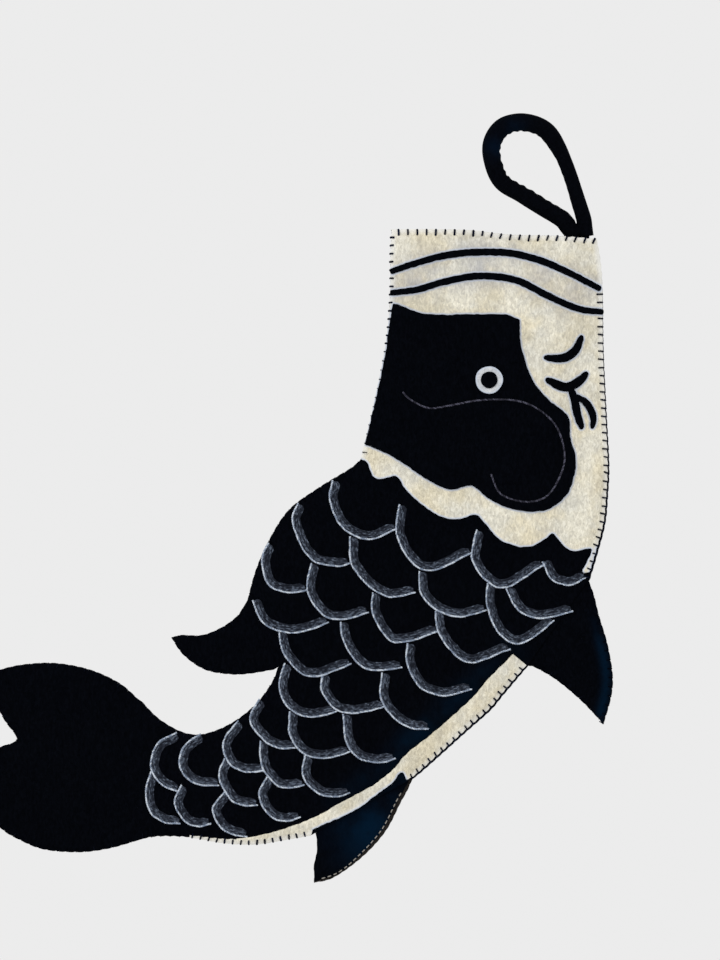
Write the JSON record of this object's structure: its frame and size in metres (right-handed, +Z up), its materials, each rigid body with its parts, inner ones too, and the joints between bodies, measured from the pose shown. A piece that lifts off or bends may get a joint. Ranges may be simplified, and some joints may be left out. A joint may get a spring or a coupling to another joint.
{
  "type": "felt carp streamer",
  "caption": "Hanging carp of stitched felt with an open pocket mouth, embroidered scales, flapping fins, a fan tail and a padded hanging loop.",
  "frame": {"origin": "inner top of the hanging loop, where a hook or peg carries the streamer, in the middle of its thickness", "axes": "+Z up, +X from the carp's back towards its throat, the decorated front facing -Y"},
  "size_m": [0.4962, 0.022, 0.5768],
  "materials": {
    "black_felt": "soft wool felt, blue-black, slightly fuzzy",
    "back_felt": "soft wool felt, blue-black, plain",
    "navy_felt": "soft wool felt, very dark navy",
    "brown_black_felt": "soft wool felt, brown-black",
    "cream_felt": "soft wool felt, mottled cream",
    "white_felt": "soft wool felt, off-white",
    "band_yarn": "brushed dark grey yarn in short rows",
    "pale_yarn": "twisted pale blue-grey yarn",
    "grey_thread": "thin grey chain-stitched thread",
    "dark_thread": "dark blue-grey stitching thread",
    "loop_felt": "padded black felt tube"
  },
  "bodies": {
    "fore_body": {"front_panel_fore": "black_felt", "back_panel_fore": "back_felt", "face_panel": "cream_felt", "gill_cover": "black_felt", "upper_lip_stripe": "black_felt", "lower_lip_stripe": "black_felt", "eye_ring": "white_felt", "eye_pupil": "black_felt", "nostril_mark": "black_felt", "barbel_mark": "black_felt", "gill_line": "grey_thread", "belly_strip_fore": "cream_felt", "scale_band_1": "band_yarn", "scale_band_2": "band_yarn", "scale_band_3": "band_yarn", "scale_band_4": "band_yarn", "scale_band_5": "band_yarn", "scale_yarn_1": "pale_yarn", "scale_yarn_2": "pale_yarn", "scale_yarn_3": "pale_yarn", "scale_yarn_4": "pale_yarn", "scale_yarn_5": "pale_yarn", "mouth_stitches": "dark_thread", "left_seam_stitches": "dark_thread", "right_seam_stitches": "dark_thread", "belly_stitches_fore": "dark_thread", "loop_tack_stitches": "pale_yarn", "loop_tab": "loop_felt"},
    "rear_body": {"front_panel_rear": "black_felt", "back_panel_rear": "back_felt", "belly_strip_rear": "cream_felt", "belly_stitches_rear": "dark_thread", "scale_band_6": "band_yarn", "scale_band_7": "band_yarn", "scale_band_8": "band_yarn", "scale_band_9": "band_yarn", "scale_band_10": "band_yarn", "scale_yarn_6": "pale_yarn", "scale_yarn_7": "pale_yarn", "scale_yarn_8": "pale_yarn", "scale_yarn_9": "pale_yarn", "scale_yarn_10": "pale_yarn"},
    "tail": {"tail_front": "black_felt", "tail_back": "back_felt"},
    "dorsal_fin": {"dorsal_fin_front": "black_felt", "dorsal_fin_back": "back_felt"},
    "pectoral_fin": {"pectoral_fin_front": "navy_felt", "pectoral_fin_back": "back_felt"},
    "pelvic_fin": {"pelvic_fin_front": "navy_felt", "pelvic_fin_back": "brown_black_felt"},
    "loop": {"hanging_loop": "loop_felt"}
  },
  "joints": [
    {"name": "body_bend", "type": "hinge", "parent": "fore_body", "child": "rear_body", "pos_m": [-0.129, 0, -0.443], "axis": [0.7982, 0, -0.6024], "range_deg": [-25, 25], "stiffness_Nm_per_rad": 0.12},
    {"name": "tail_flap", "type": "hinge", "parent": "rear_body", "child": "tail", "pos_m": [-0.288, 0, -0.479], "axis": [0, 0, -1], "range_deg": [-50, 50], "stiffness_Nm_per_rad": 0.05},
    {"name": "dorsal_flap", "type": "hinge", "parent": "fore_body", "child": "dorsal_fin", "pos_m": [-0.19863, 0, -0.37472], "axis": [-0.4191, 0, 0.908], "range_deg": [-60, 60], "stiffness_Nm_per_rad": 0.02},
    {"name": "pectoral_flap", "type": "hinge", "parent": "fore_body", "child": "pectoral_fin", "pos_m": [0.02935, 0, -0.3707], "axis": [-0.5865, 0, -0.8099], "range_deg": [-60, 60], "stiffness_Nm_per_rad": 0.02},
    {"name": "pelvic_flap", "type": "hinge", "parent": "rear_body", "child": "pelvic_fin", "pos_m": [-0.12007, 0, -0.50952], "axis": [-0.8698, 0, -0.4933], "range_deg": [-60, 60], "stiffness_Nm_per_rad": 0.02},
    {"name": "loop_fold", "type": "hinge", "parent": "fore_body", "child": "loop", "pos_m": [0.041, 0, -0.072], "axis": [1, 0, 0], "range_deg": [-75, 75], "stiffness_Nm_per_rad": 0.08}
  ]
}
